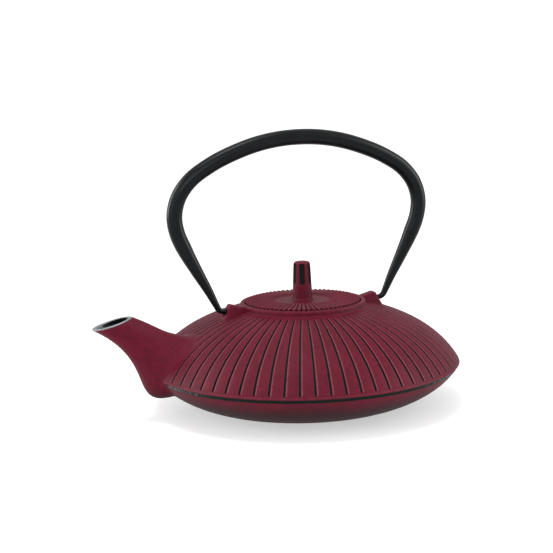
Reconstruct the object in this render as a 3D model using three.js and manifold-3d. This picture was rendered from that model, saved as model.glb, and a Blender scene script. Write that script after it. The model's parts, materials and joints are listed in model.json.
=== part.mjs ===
// Cast iron teapot with a fold-down handle, a lift-off lid and a lift-out infuser.
// Millimetres, +Z up. The origin is the centre of the flat base, and the spout points along -X.
import * as THREE from 'three';
import { mergeVertices } from 'three/addons/utils/BufferGeometryUtils.js';
import Module from 'manifold-3d';

const wasm = await Module();
wasm.setup();

// ---------------------------------------------------------------- driving dimensions
const bodyRadius = 100; // at the rim, the widest edge of the pot
const rimHeight = 26.5;
const bodyHeight = 67; // top of the collar
const baseRadius = 42; // flat disc that the pot stands on
const mouthRadius = 37.5; // inside of the collar
const bodyWall = 2.7;
const rimWall = 4.5; // measured level, where the two skins meet at a sharp edge
const collarWall = 3;
const collarRise = 3.7; // collar above the shoulder
const seatDepth = 4; // collar top down to the ledge that carries the infuser and the lid
const seatWidth = 6;

const spoutOverhang = 38; // tip of the spout beyond the rim
const spoutTipDrop = 5.5; // tip below the top of the collar, so that a full pot doesn't run over
const spoutLipRise = 5.4; // back edge of the spout's mouth above its tip
const spoutMouthLength = 24.8;
const spoutMouthWidth = 16.6;
const spoutRootWidth = 40;
const spoutWall = 3;

const eyeDrop = 2.8; // axis that the handle folds about, below the top of the collar
const eyeRadius = 2;
const eyeDepth = 7;
const lugReach = 8.3; // ridge of a lug outwards from the collar
const lugFaceLean = 5.2; // foot of a lug's outer face outwards from its ridge
const lugRise = 2.3; // ridge of a lug above the collar
const lugWidth = 8;

const handleBulge = 31.3; // widest part of the handle outwards from the mouth of its eye
const handleRise = 107.8; // centre line at the top of the grip above the eyes
const gripRadius = 4.85;
const hookRadius = 1.7;
const hookEndGap = 1; // end of the hook to the bottom of its eye
const taperStart = 8; // along the handle from the end of a hook
const taperEnd = 58;

const lidThickness = 3.2;
const lidCrown = 0.6; // middle of the lid above its edge
const dishRadius = 17;
const dishDepth = 1;
const skirtDepth = 6;
const skirtWall = 1.8;
const ventRadius = 1.2;
const ventOffset = 11.5;

const knobHeight = 26.2;
const knobBaseRadius = 6.7;
const knobTopRadius = 5;
const knobSlotCount = 6;
const knobSlotWidth = 2.8;
const knobSlotDepth = 1.2;
const knobSlotBottom = 11; // above the knob's foot
const knobSlotTop = 23.5;
const knobSlotTurn = -110; // degrees, direction that the first slot faces

const screwRadius = 1.8;
const screwLength = 15; // inside the knob
const screwHeadRadius = 4.2;
const screwHeadHeight = 2.2;
const washerRadius = 6;
const washerThickness = 1;

const infuserDepth = 47; // ledge down to the underside of the basket
const sheet = 0.6; // pressed steel and woven mesh
const infuserNeckLength = 9;
const infuserBandHeight = 5;
const infuserBandLip = 3;

// ---------------------------------------------------------------- clearances
const partingGap = 0.3; // between fitted pieces
const restGap = 0.05; // under a piece that rests on another
const lidClearance = 0.6;
const infuserClearance = 1.5; // basket inside the throat of the pot
const skirtClearance = 1.3; // lid's skirt inside the basket

// ---------------------------------------------------------------- derived sizes
const collarRadius = mouthRadius + collarWall;
const shoulderHeight = bodyHeight - collarRise;
const seatHeight = bodyHeight - seatDepth;
const throatRadius = mouthRadius - seatWidth;
const infuserRadius = throatRadius - infuserClearance;
const infuserWallRadius = infuserRadius - sheet - partingGap;
const infuserWallInside = infuserWallRadius - sheet;
const flangeTop = seatHeight + restGap + sheet;
const lidUnderside = flangeTop + restGap;
const lidRadius = mouthRadius - lidClearance;
const lidEdgeTop = lidUnderside + lidThickness;
const dishFloor = lidEdgeTop + lidCrown - dishDepth;
const knobFoot = dishFloor + restGap;
const knobTop = knobFoot + knobHeight;
const screwHoleRadius = screwRadius + partingGap;
const lugRidgeRadius = collarRadius + lugReach;
const lugFootRadius = lugRidgeRadius + lugFaceLean;
const lugRidgeHeight = bodyHeight + lugRise;
const eyeHeight = bodyHeight - eyeDrop;
const lugSlope = lugFaceLean / (lugRidgeHeight - shoulderHeight + collarRise);
const eyeMouthRadius = lugRidgeRadius + lugSlope * (lugRidgeHeight - eyeHeight);
const eyeBottomRadius = eyeMouthRadius - eyeDepth;
const handleHalfSpan = eyeMouthRadius + handleBulge;
const spoutReach = bodyRadius + spoutOverhang;
const spoutTipHeight = bodyHeight - spoutTipDrop;
const spoutLipHeight = spoutTipHeight + spoutLipRise;

// ---------------------------------------------------------------- materials
const redCastIron = { color: 0x7a1c33, roughness: 0.62, metalness: 0.1 };
const blackSteel = { color: 0x1b1d1f, roughness: 0.38, metalness: 0.4 };
const stainlessSteel = { color: 0xb9bcbe, roughness: 0.3, metalness: 1 };

// ---------------------------------------------------------------- helpers
const smoothSides = 48; // around a large turned piece
const fineSides = 20; // around a small turned piece
const curveSteps = 9;

const point = (x, y) => new THREE.Vector2(x, y);

/** Closed solid for joining and cutting, from a closed three.js geometry. */
function solid(geometry) {
  const bare = geometry.clone();
  bare.deleteAttribute('normal');
  bare.deleteAttribute('uv');
  const merged = mergeVertices(bare, 1e-5);
  const vertProperties = new Float32Array(merged.attributes.position.array);
  const triVerts = new Uint32Array(merged.index.array);
  return new wasm.Manifold(new wasm.Mesh({ numProp: 3, vertProperties, triVerts }));
}

/** three.js geometry from a solid. */
function geometryOf(manifold) {
  const mesh = manifold.getMesh();
  const geometry = new THREE.BufferGeometry();
  geometry.setAttribute('position', new THREE.BufferAttribute(mesh.vertProperties, 3));
  geometry.setIndex(new THREE.BufferAttribute(mesh.triVerts, 1));
  geometry.computeVertexNormals();
  return geometry;
}

/** Profile of radius and height, turned about Z. The outline runs anticlockwise. */
function turned(profile, sides = smoothSides) {
  return new THREE.LatheGeometry(profile, sides).rotateX(Math.PI / 2);
}

/** Closed ring with the given outline. */
function turnedRing(profile, sides = smoothSides) {
  return turned([...profile, profile[0]], sides);
}

/** Cubic curve between two points; the two bends are fractions of the way along each axis. */
function bentCurve(from, firstBend, secondBend, to) {
  const along = ([x, y]) => point(from.x + (to.x - from.x) * x, from.y + (to.y - from.y) * y);
  return new THREE.CubicBezierCurve(from, along(firstBend), along(secondBend), to);
}

/**
 * Solid with a round section that changes along its length.
 * section(t) gives the centre and the two half axes, first and second, of the section at t from 0 to 1.
 */
function lofted(section, sides, stations) {
  const geometry = new THREE.CylinderGeometry(1, 1, 1, sides, stations);
  const vertex = new THREE.Vector3();
  const { position } = geometry.attributes;
  for (let i = 0; i < position.count; i += 1) {
    vertex.fromBufferAttribute(position, i);
    const { centre, first, second } = section(vertex.y + 0.5);
    const moved = centre.clone().addScaledVector(first, vertex.x).addScaledVector(second, vertex.z);
    position.setXYZ(i, moved.x, moved.y, moved.z);
  }
  return geometry;
}

/** Upright slab cut to an outline of x and z, centred on the XZ plane. */
function uprightSlab(outline, width) {
  const geometry = new THREE.ExtrudeGeometry(new THREE.Shape(outline), { depth: width, bevelEnabled: false });
  return geometry.translate(0, 0, -width / 2).rotateX(Math.PI / 2);
}

// ---------------------------------------------------------------- pot body
/** Belly from the base to the rim, then the shoulder up to the crown. */
function bellyAndShoulder(foot, rim, crown) {
  const belly = bentCurve(foot, [0.45, 0], [0.84, 0.43], rim).getPoints(curveSteps);
  const shoulder = bentCurve(rim, [0.13, 0.39], [0.42, 0.8], crown).getPoints(curveSteps);
  return [...belly, ...shoulder.slice(1)];
}

/** Outside of the body without its mouth, grown evenly, used to fit what stands on it. */
function bodyEnvelope(growth) {
  const skin = bellyAndShoulder(
    point(baseRadius, -growth),
    point(bodyRadius + growth, rimHeight),
    point(collarRadius + growth, shoulderHeight + growth),
  );
  const top = bodyHeight + growth;
  return solid(turned([point(0, -growth), ...skin, point(collarRadius + growth, top), point(0, top)]));
}

/** Hollow body with the passage into the spout. */
function potShell() {
  const outside = bellyAndShoulder(
    point(baseRadius, 0),
    point(bodyRadius, rimHeight),
    point(collarRadius, shoulderHeight),
  );
  const inside = bellyAndShoulder(
    point(baseRadius, bodyWall),
    point(bodyRadius - rimWall, rimHeight),
    point(throatRadius, shoulderHeight - bodyWall),
  );
  const shell = turned([
    point(0, 0),
    ...outside,
    point(collarRadius, bodyHeight),
    point(mouthRadius, bodyHeight),
    point(mouthRadius, seatHeight),
    point(throatRadius, seatHeight),
    ...inside.reverse(),
    point(0, bodyWall),
  ]);
  return solid(shell).subtract(spoutBore());
}

/** The part of the body between two heights. */
function potSlice(low, high) {
  const slice = new THREE.CylinderGeometry(2 * bodyRadius, 2 * bodyRadius, high - low, smoothSides)
    .rotateX(Math.PI / 2)
    .translate(0, 0, (low + high) / 2);
  return geometryOf(potShell().intersect(solid(slice)));
}

const potBowl = () => potSlice(-bodyWall, rimHeight);
const potShoulder = () => potSlice(rimHeight + partingGap, bodyHeight + bodyWall);

// ---------------------------------------------------------------- spout
const spoutTop = bentCurve(
  point(-bodyRadius * 0.74, shoulderHeight * 0.79),
  [0.61, 0.355],
  [0.46, 0.415],
  point(-(spoutReach - spoutMouthLength), spoutLipHeight),
);
const spoutUnderside = bentCurve(
  point(-bodyRadius * 0.84, rimHeight * 0.47),
  [0.67, 0.01],
  [0.17, 0.5],
  point(-spoutReach, spoutTipHeight),
);
const spoutBorePastMouth = 1.05; // how far the bore is carried on, so that it cuts the mouth open

/** Section of the spout at t from 0 at its root to 1 at its mouth, thinned by a wall all round. */
function spoutSection(t, wallAlong, wallAcross) {
  const high = spoutTop.getPoint(t);
  const low = spoutUnderside.getPoint(t);
  const centre = high.clone().add(low).multiplyScalar(0.5);
  const half = high.clone().sub(low).multiplyScalar(0.5);
  half.setLength(half.length() - wallAlong);
  const rootness = (1 - t) * Math.abs(1 - t);
  const width = spoutMouthWidth + (spoutRootWidth - spoutMouthWidth) * rootness;
  return {
    centre: new THREE.Vector3(centre.x, 0, centre.y),
    first: new THREE.Vector3(half.x, 0, half.y),
    second: new THREE.Vector3(0, -(width / 2 - wallAcross), 0),
  };
}

const spoutSides = 20;
const spoutStations = 14;
const obliqueWall = spoutWall * 1.25; // the sections are cut at a slant

function spoutBore() {
  const section = (t) => spoutSection(t * spoutBorePastMouth, obliqueWall, spoutWall);
  return solid(lofted(section, spoutSides, spoutStations));
}

function spout() {
  const outside = solid(lofted((t) => spoutSection(t, 0, 0), spoutSides, spoutStations));
  return geometryOf(outside.subtract(bodyEnvelope(partingGap)).subtract(spoutBore()));
}

// ---------------------------------------------------------------- handle lugs
/** Fin on the shoulder with a blind eye in its outer face, on the +X side. */
function lug() {
  const outline = [
    point(mouthRadius, rimHeight),
    point(lugFootRadius, rimHeight),
    point(lugFootRadius, shoulderHeight - collarRise),
    point(lugRidgeRadius, lugRidgeHeight),
    point(mouthRadius, bodyHeight - partingGap),
  ];
  const eyeReach = 2 * eyeDepth;
  const eye = new THREE.CylinderGeometry(eyeRadius, eyeRadius, eyeReach, fineSides)
    .rotateZ(Math.PI / 2)
    .translate(eyeBottomRadius + eyeReach / 2, 0, eyeHeight);
  const fin = solid(uprightSlab(outline, lugWidth));
  return geometryOf(fin.subtract(bodyEnvelope(partingGap)).subtract(solid(eye)));
}

// ---------------------------------------------------------------- handle
const handleSides = 12;
const handleStations = 60;
const legShape = [ // fractions of the bulge and of the rise, from the elbow up
  [0.35, 0.123],
  [0.59, 0.253],
  [0.81, 0.378],
  [0.96, 0.485],
];
const gripShape = [ // fractions of the half span and of the rise, up to the top
  [1, 0.585],
  [0.962, 0.69],
  [0.865, 0.785],
  [0.71, 0.863],
  [0.555, 0.917],
  [0.36, 0.966],
  [0.18, 0.992],
];

/** Centre line of the handle from the hook in the front eye to the hook in the rear eye. */
function handlePath() {
  const elbow = eyeMouthRadius + 5;
  const side = [
    [eyeBottomRadius + hookEndGap, 0],
    [eyeMouthRadius + 1, 0],
    [elbow, 1.6],
    [elbow + 3, 5.6],
    ...legShape.map(([x, z]) => [eyeMouthRadius + x * handleBulge, z * handleRise]),
    ...gripShape.map(([x, z]) => [x * handleHalfSpan, z * handleRise]),
  ];
  const front = side.map(([x, z]) => new THREE.Vector3(-x, 0, eyeHeight + z));
  const rear = side.map(([x, z]) => new THREE.Vector3(x, 0, eyeHeight + z)).reverse();
  const top = new THREE.Vector3(0, 0, eyeHeight + handleRise);
  return new THREE.CatmullRomCurve3([...front, top, ...rear], false, 'centripetal');
}

/** Round bar that tapers down to a thin hook at each end. */
function handle() {
  const path = handlePath();
  const length = path.getLength();
  const crowding = 0.85; // draws the sections together near the hooks, where the bar bends sharply
  const section = (t) => {
    const u = t - (crowding * Math.sin(2 * Math.PI * t)) / (2 * Math.PI);
    const centre = path.getPointAt(u);
    const tangent = path.getTangentAt(u);
    const fromEnd = length * Math.min(u, 1 - u);
    const fullness = THREE.MathUtils.clamp((fromEnd - taperStart) / (taperEnd - taperStart), 0, 1);
    const radius = THREE.MathUtils.lerp(hookRadius, gripRadius, fullness);
    return {
      centre,
      first: new THREE.Vector3(-tangent.z, 0, tangent.x).multiplyScalar(radius),
      second: new THREE.Vector3(0, radius, 0),
    };
  };
  return lofted(section, handleSides, handleStations);
}

// ---------------------------------------------------------------- lid
function lid() {
  const skirtRadius = infuserWallInside - skirtClearance;
  const skirtBottom = lidUnderside - skirtDepth;
  const plate = turnedRing([
    point(screwHoleRadius, lidUnderside),
    point(skirtRadius - skirtWall, lidUnderside),
    point(skirtRadius - skirtWall, skirtBottom),
    point(skirtRadius, skirtBottom),
    point(skirtRadius, lidUnderside),
    point(lidRadius, lidUnderside),
    point(lidRadius, lidEdgeTop),
    point((lidRadius + dishRadius) / 2, lidEdgeTop + lidCrown * 0.75),
    point(dishRadius, lidEdgeTop + lidCrown),
    point(dishRadius - dishDepth, dishFloor),
    point(screwHoleRadius, dishFloor),
  ]);
  const vent = new THREE.CylinderGeometry(ventRadius, ventRadius, 4 * lidThickness, fineSides)
    .rotateX(Math.PI / 2)
    .translate(0, ventOffset, lidUnderside);
  return geometryOf(solid(plate).subtract(solid(vent)));
}

/** Tapered knob with upright slots; a blind hole in its foot takes the screw. */
function lidKnob() {
  const holeTop = knobFoot + screwLength + 2 * partingGap;
  const edge = 1.2; // rounding of the top
  const body = turned([
    point(0, holeTop),
    point(screwHoleRadius, holeTop),
    point(screwHoleRadius, knobFoot),
    point(knobBaseRadius, knobFoot),
    point(knobBaseRadius, knobFoot + edge),
    point(knobTopRadius, knobTop - edge),
    point(knobTopRadius - edge / 3, knobTop - edge / 3),
    point(knobTopRadius - edge, knobTop),
    point(0, knobTop),
  ], 2 * knobSlotCount * 2);
  let knob = solid(body);
  const slotHeight = knobSlotTop - knobSlotBottom;
  const slotMiddle = (knobBaseRadius + knobTopRadius) / 2 - knobSlotDepth + knobBaseRadius / 2;
  for (let i = 0; i < knobSlotCount; i += 1) {
    const turn = THREE.MathUtils.degToRad(knobSlotTurn + (i * 360) / knobSlotCount);
    const slot = new THREE.BoxGeometry(knobBaseRadius, knobSlotWidth, slotHeight)
      .translate(slotMiddle, 0, knobFoot + knobSlotBottom + slotHeight / 2)
      .rotateZ(turn);
    knob = knob.subtract(solid(slot));
  }
  return geometryOf(knob);
}

const washerTop = lidUnderside - restGap;
const screwHeadTop = washerTop - washerThickness - restGap;

function knobWasher() {
  return turnedRing([
    point(screwHoleRadius, washerTop - washerThickness),
    point(washerRadius, washerTop - washerThickness),
    point(washerRadius, washerTop),
    point(screwHoleRadius, washerTop),
  ], fineSides);
}

function knobScrew() {
  const chamfer = 0.6;
  const headBottom = screwHeadTop - screwHeadHeight;
  return turned([
    point(0, headBottom),
    point(screwHeadRadius - chamfer, headBottom),
    point(screwHeadRadius, headBottom + chamfer),
    point(screwHeadRadius, screwHeadTop),
    point(screwRadius, screwHeadTop),
    point(screwRadius, knobFoot + screwLength - chamfer),
    point(screwRadius - chamfer, knobFoot + screwLength),
    point(0, knobFoot + screwLength),
  ], fineSides);
}

// ---------------------------------------------------------------- infuser
const basketBottom = seatHeight - infuserDepth;
const basketFloor = basketBottom + sheet + partingGap;

function infuserRim() {
  const flangeRadius = mouthRadius - 2 * lidClearance;
  return turnedRing([
    point(infuserRadius - sheet, seatHeight - infuserNeckLength),
    point(infuserRadius, seatHeight - infuserNeckLength),
    point(infuserRadius, flangeTop - sheet),
    point(flangeRadius, flangeTop - sheet),
    point(flangeRadius, flangeTop),
    point(infuserRadius - sheet, flangeTop),
  ]);
}

function infuserWall() {
  return turnedRing([
    point(infuserWallInside, basketFloor),
    point(infuserWallRadius, basketFloor),
    point(infuserWallRadius, seatHeight),
    point(infuserWallInside, seatHeight),
  ]);
}

function infuserBase() {
  const radius = infuserWallInside - partingGap;
  return turned([
    point(0, basketFloor),
    point(radius, basketFloor),
    point(radius, basketFloor + sheet),
    point(0, basketFloor + sheet),
  ]);
}

function infuserBaseBand() {
  return turnedRing([
    point(infuserRadius - infuserBandLip, basketBottom),
    point(infuserRadius, basketBottom),
    point(infuserRadius, basketBottom + infuserBandHeight),
    point(infuserRadius - sheet, basketBottom + infuserBandHeight),
    point(infuserRadius - sheet, basketBottom + sheet),
    point(infuserRadius - infuserBandLip, basketBottom + sheet),
  ]);
}

// ---------------------------------------------------------------- assembly
/** One named sub-part with a material of its own. */
function piece(name, geometry, look) {
  const mesh = new THREE.Mesh(geometry, new THREE.MeshStandardMaterial(look));
  mesh.name = name;
  return mesh;
}

const potGroup = new THREE.Group();
potGroup.add(piece('pot_bowl', potBowl(), redCastIron));
potGroup.add(piece('pot_shoulder', potShoulder(), redCastIron));
potGroup.add(piece('spout', spout(), redCastIron));
potGroup.add(piece('lug_rear', lug(), redCastIron));
potGroup.add(piece('lug_front', lug().rotateZ(Math.PI), redCastIron));

const lidGroup = new THREE.Group();
lidGroup.add(piece('lid', lid(), redCastIron));
lidGroup.add(piece('lid_knob', lidKnob(), redCastIron));
lidGroup.add(piece('knob_washer', knobWasher(), stainlessSteel));
lidGroup.add(piece('knob_screw', knobScrew(), stainlessSteel));

const infuserGroup = new THREE.Group();
infuserGroup.add(piece('infuser_rim', infuserRim(), stainlessSteel));
infuserGroup.add(piece('infuser_wall', infuserWall(), stainlessSteel));
infuserGroup.add(piece('infuser_base', infuserBase(), stainlessSteel));
infuserGroup.add(piece('infuser_base_band', infuserBaseBand(), stainlessSteel));

const teapot = new THREE.Group();
teapot.add(potGroup, lidGroup, infuserGroup, piece('handle', handle(), blackSteel));

export default teapot;
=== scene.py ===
"""Cast iron teapot: a ribbed pot with spout and lugs, a ribbed lid with a fluted knob,
a woven steel infuser and a bail handle that folds down to either side."""

import json
import logging
import math
from dataclasses import dataclass
from enum import Enum
from typing import Any, Mapping, Optional, Sequence, Union

import bpy
import numpy as np
from mathutils import Matrix, Vector


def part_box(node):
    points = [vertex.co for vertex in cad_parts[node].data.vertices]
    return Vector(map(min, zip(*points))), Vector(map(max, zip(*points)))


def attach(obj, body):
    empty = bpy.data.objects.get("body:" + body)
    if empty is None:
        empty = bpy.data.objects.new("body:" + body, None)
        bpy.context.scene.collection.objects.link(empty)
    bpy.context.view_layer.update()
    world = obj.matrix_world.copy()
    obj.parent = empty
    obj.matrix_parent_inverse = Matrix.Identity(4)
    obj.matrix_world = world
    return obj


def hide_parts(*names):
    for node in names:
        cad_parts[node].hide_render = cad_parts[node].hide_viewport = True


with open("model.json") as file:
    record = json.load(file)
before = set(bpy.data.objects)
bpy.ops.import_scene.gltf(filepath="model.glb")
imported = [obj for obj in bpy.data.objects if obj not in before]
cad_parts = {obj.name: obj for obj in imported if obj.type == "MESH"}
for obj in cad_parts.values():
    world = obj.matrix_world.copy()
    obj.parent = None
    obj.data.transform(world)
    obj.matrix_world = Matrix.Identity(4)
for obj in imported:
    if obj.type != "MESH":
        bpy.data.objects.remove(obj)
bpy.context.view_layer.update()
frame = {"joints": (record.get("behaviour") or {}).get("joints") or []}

Array = np.ndarray
Value = Union["Term", float, Sequence[float]]

MM = 0.001
TURN = 2.0 * math.pi
CREASE = math.radians(48.0)  # edges cut more sharply than this are shaded as edges
log = logging.getLogger("teapot")


class Body(Enum):
    """Moving bodies of the frame."""

    POT = "pot"
    LID = "lid"
    INFUSER = "infuser"
    HANDLE = "handle"


class Slot(Enum):
    """Material slots of the record."""

    RED = "red_cast_iron"
    STEEL = "stainless_steel"
    BLACK = "black_handle"


class Mark(Enum):
    """Point attributes that tell a finish where it changes."""

    GROOVE = "groove"
    EDGE = "edge"
    WORN = "worn"
    INSIDE = "inside"
    GLOSS = "gloss"


# ---------------------------------------------------------------- arrays and meshes
def node_box(node: str) -> tuple[list[float], list[float]]:
    """Lowest and highest corners of a frame node's box, in millimetres."""
    low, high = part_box(node)
    return [float(c) / MM for c in low], [float(c) / MM for c in high]


def smoothstep(low: float, high: float, value: Array) -> Array:
    """Ease from 0 at low to 1 at high: 3 t^2 - 2 t^3, where t is how far value is from low to high."""
    t = np.clip((value - low) / (high - low), 0.0, 1.0)
    return t * t * (3.0 - 2.0 * t)


def plateau(rise: tuple[float, float], fall: tuple[float, float], value: Array) -> Array:
    """Ease from 0 up to 1 over one pair of values, and down to 0 again over another pair."""
    return smoothstep(*rise, value) * (1.0 - smoothstep(*fall, value))


def unit(vectors: Array) -> Array:
    """Vectors of the last axis scaled to length 1."""
    return vectors / np.maximum(np.linalg.norm(vectors, axis=-1, keepdims=True), 1e-12)


def mix(a: Any, b: Any, t: Any) -> Any:
    """Straight mix of two values: a where t is 0, b where t is 1."""
    return a + (b - a) * t


def signed_power(value: Array, power: float) -> Array:
    """Value raised to a power with its sign kept."""
    return np.sign(value) * np.abs(value) ** power


def bent_controls(start: Sequence[float], first: Sequence[float], second: Sequence[float],
                  end: Sequence[float]) -> Array:
    """Four control points of a cubic; its two bends are fractions of the way along each axis."""
    a, b = np.array(start, float), np.array(end, float)
    return np.array([a, a + (b - a) * np.array(first), a + (b - a) * np.array(second), b])


def cubic(controls: Array, t: Array) -> Array:
    """Cubic Bezier curve: the four control points weighted by (1-t)^3, 3(1-t)^2 t, 3(1-t)t^2, t^3.

    Args:
        controls: 4 x d control points.
        t: parameters, of any shape.

    Returns:
        Points, of t's shape with a last axis of d.
    """
    t = np.asarray(t, float)[..., None]
    s = 1.0 - t
    return (s ** 3 * controls[0] + 3 * s * s * t * controls[1]
            + 3 * s * t * t * controls[2] + t ** 3 * controls[3])


def arc_length(points: Array) -> Array:
    """Length along a line of points, starting at 0."""
    steps = np.linalg.norm(np.diff(points, axis=0), axis=1)
    return np.concatenate([[0.0], np.cumsum(steps)])


def resampled(points: Array, places: Array) -> Array:
    """Points of a line at given lengths along it."""
    along = arc_length(points)
    return np.stack([np.interp(places, along, points[:, i]) for i in range(points.shape[1])], -1)


def rounded_outline(corners: Sequence[tuple[float, float, float]], steps: int = 4,
                    closed: bool = False) -> Array:
    """Outline whose corners are rounded by short quadratic curves.

    Each corner is cut back by its radius along both edges, and a support point beside each cut
    keeps the flats flat when they are shaded.

    Args:
        corners: radius and height of each corner, and its rounding; 0 keeps it as it is.
        steps: segments in each rounding.
        closed: whether the last corner joins the first.

    Returns:
        Array of n x 2 points.
    """
    points = np.array([c[:2] for c in corners], float)
    count = len(points)
    t = np.linspace(0.0, 1.0, steps + 1)[:, None]
    out: list[Array] = []
    for i, (_, _, rounding) in enumerate(corners):
        if rounding <= 0.0 or (not closed and i in (0, count - 1)):
            out.append(points[i:i + 1])
            continue
        before, here, after = points[i - 1], points[i], points[(i + 1) % count]
        cut_in, cut_out = before - here, after - here
        room_in, room_out = np.linalg.norm(cut_in), np.linalg.norm(cut_out)
        size = min(rounding, 0.48 * room_in, 0.48 * room_out)
        a, b = here + cut_in / room_in * size, here + cut_out / room_out * size
        arc = (1 - t) ** 2 * a + 2 * (1 - t) * t * here + t ** 2 * b
        support = 0.35 * size
        out.append((a + cut_in / room_in * min(support, 0.02 * room_in))[None])
        out.append(arc)
        out.append((b + cut_out / room_out * min(support, 0.02 * room_out))[None])
    return np.concatenate(out)


def outline_normals(outline: Array, closed: bool = False) -> Array:
    """Unit normals to the right of travel along an outline, which is outwards if it runs anticlockwise.

    Args:
        outline: radius and height of each point.
        closed: whether the last point joins the first.

    Returns:
        One unit normal for each point.
    """
    if closed:
        travel = np.roll(outline, -1, axis=0) - np.roll(outline, 1, axis=0)
    else:
        travel = np.gradient(outline, axis=0)
    return unit(np.stack([travel[:, 1], -travel[:, 0]], axis=1))


def revolve(radius: Array, height: Array, angle: Array) -> Array:
    """Points at a radius, height and angle about Z, by broadcasting the three arrays."""
    radius, height, angle = np.broadcast_arrays(radius, height, angle)
    return np.stack([radius * np.cos(angle), radius * np.sin(angle), height], axis=-1)


def sunken(outline: Array, normals: Array, depth: Array, angle: Array) -> Array:
    """Outline turned about Z to the given angles, with each point sunk along its normal by a depth."""
    return revolve(outline[:, :1] - depth * normals[:, :1], outline[:, 1:] - depth * normals[:, 1:], angle)


def around(count: int) -> Array:
    """Angles of a full turn in one row, without the last one, which would repeat the first."""
    return np.linspace(0.0, TURN, count, endpoint=False)[None]


def surface_normals(grid: Array) -> Array:
    """Unit normals of a grid whose columns wrap, from the cross product of its two directions.

    Args:
        grid: rows x columns x 3 points.

    Returns:
        One unit normal for each point.
    """
    down = np.gradient(grid, axis=0)
    across = np.roll(grid, -1, axis=1) - np.roll(grid, 1, axis=1)
    return unit(np.cross(across, down))


@dataclass
class Surface:
    """A grid of points in millimetres, whose columns wrap, with the ways in which its rows close.

    Rows run along the profile and columns run round it.
    """

    points: Array
    wrap_rows: bool = False
    cap_start: bool = False
    cap_end: bool = False
    marks: Optional[dict[Mark, Array]] = None

    def faces(self) -> tuple[Array, Array]:
        """Quads of the grid and triangles of its caps, as vertex numbers, turned to face outwards.

        The volume that the faces enclose, a sixth of the sum of a . (b x c), is negative while
        they face inwards.

        Returns:
            The quads and the triangles, as arrays of vertex numbers.
        """
        rows, columns = self.points.shape[:2]
        index = np.arange(rows * columns).reshape(rows, columns)
        low = index if self.wrap_rows else index[:-1]
        high = np.roll(index, -1, axis=0) if self.wrap_rows else index[1:]
        quads = np.stack([low, np.roll(low, -1, axis=1), np.roll(high, -1, axis=1), high], -1)
        fans = []
        centre = rows * columns
        for wanted, ring, turn in ((self.cap_start, index[0], -1), (self.cap_end, index[-1], 1)):
            if wanted:
                after = np.roll(ring, -1)
                a, b = (ring, after) if turn > 0 else (after, ring)
                fans.append(np.stack([a, b, np.full_like(a, centre)], -1))
                centre += 1
        triangles = np.concatenate(fans) if fans else np.zeros((0, 3), int)
        quads = quads.reshape(-1, 4)
        every = np.concatenate([quads[:, [0, 1, 2]], quads[:, [0, 2, 3]], triangles])
        a, b, c = self.vertices()[every].transpose(1, 0, 2)
        if (a * np.cross(b, c)).sum() < 0.0:
            quads, triangles = quads[:, ::-1], triangles[:, ::-1]
        return quads, triangles

    @classmethod
    def turned(cls, outline: Array, sides: int) -> "Surface":
        """Ring that a closed outline of radius and height sweeps about Z."""
        return cls(revolve(outline[:, :1], outline[:, 1:], around(sides)), wrap_rows=True)

    def vertices(self) -> Array:
        """All vertices, with the centre of each cap at the end.

        Returns:
            Array of n x 3 points.
        """
        flat = [self.points.reshape(-1, 3)]
        if self.cap_start:
            flat.append(self.points[0].mean(axis=0)[None])
        if self.cap_end:
            flat.append(self.points[-1].mean(axis=0)[None])
        return np.concatenate(flat)


def join(surfaces: Sequence[Surface]) -> tuple[Array, list[list[int]], dict[Mark, Array]]:
    """Several surfaces as one set of vertices, faces and marks.

    Args:
        surfaces: the surfaces, in millimetres.

    Returns:
        Vertices, faces as lists of vertex numbers, and one value per vertex for each mark.
    """
    vertices: list[Array] = []
    faces: list[list[int]] = []
    names = {mark for surface in surfaces for mark in (surface.marks or {})}
    marks: dict[Mark, list[Array]] = {name: [] for name in names}
    offset = 0
    for surface in surfaces:
        own = surface.vertices()
        quads, triangles = surface.faces()
        faces += (quads + offset).tolist() + (triangles + offset).tolist()
        for name in names:
            value = np.zeros(len(own))
            if surface.marks and name in surface.marks:
                given = np.broadcast_to(surface.marks[name], surface.points.shape[:2])
                value[:given.size] = given.ravel()
                value[given.size:] = given[-1].mean() if surface.cap_end else given[0].mean()
            marks[name].append(value)
        vertices.append(own)
        offset += len(own)
    return np.concatenate(vertices), faces, {k: np.concatenate(v) for k, v in marks.items()}


def new_object(name: str, surfaces: Sequence[Surface], material: bpy.types.Material,
               carried: Optional[Sequence[str]] = None) -> bpy.types.Object:
    """Smooth mesh object at the origin, with its marks as point attributes.

    Args:
        name: its name.
        surfaces: its surfaces, in millimetres.
        material: its material.
        carried: the attributes to carry, 0 where the surfaces have no such mark; None for their own.

    Returns:
        The object, linked to the scene.
    """
    vertices, faces, marks = join(surfaces)
    mesh = bpy.data.meshes.new(name)
    mesh.from_pydata((vertices * MM).tolist(), [], faces)
    mesh.polygons.foreach_set("use_smooth", np.ones(len(mesh.polygons), bool))
    given = {mark.value: values for mark, values in marks.items()}
    for wanted in (given if carried is None else carried):
        attribute = mesh.attributes.new(wanted, "FLOAT", "POINT")
        values = given.get(wanted, np.zeros(len(vertices)))
        attribute.data.foreach_set("value", values.astype(np.float32))
    mesh.materials.append(material)
    mesh.validate()
    mesh.update()
    made = bpy.data.objects.new(name, mesh)
    bpy.context.scene.collection.objects.link(made)
    return made


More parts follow.
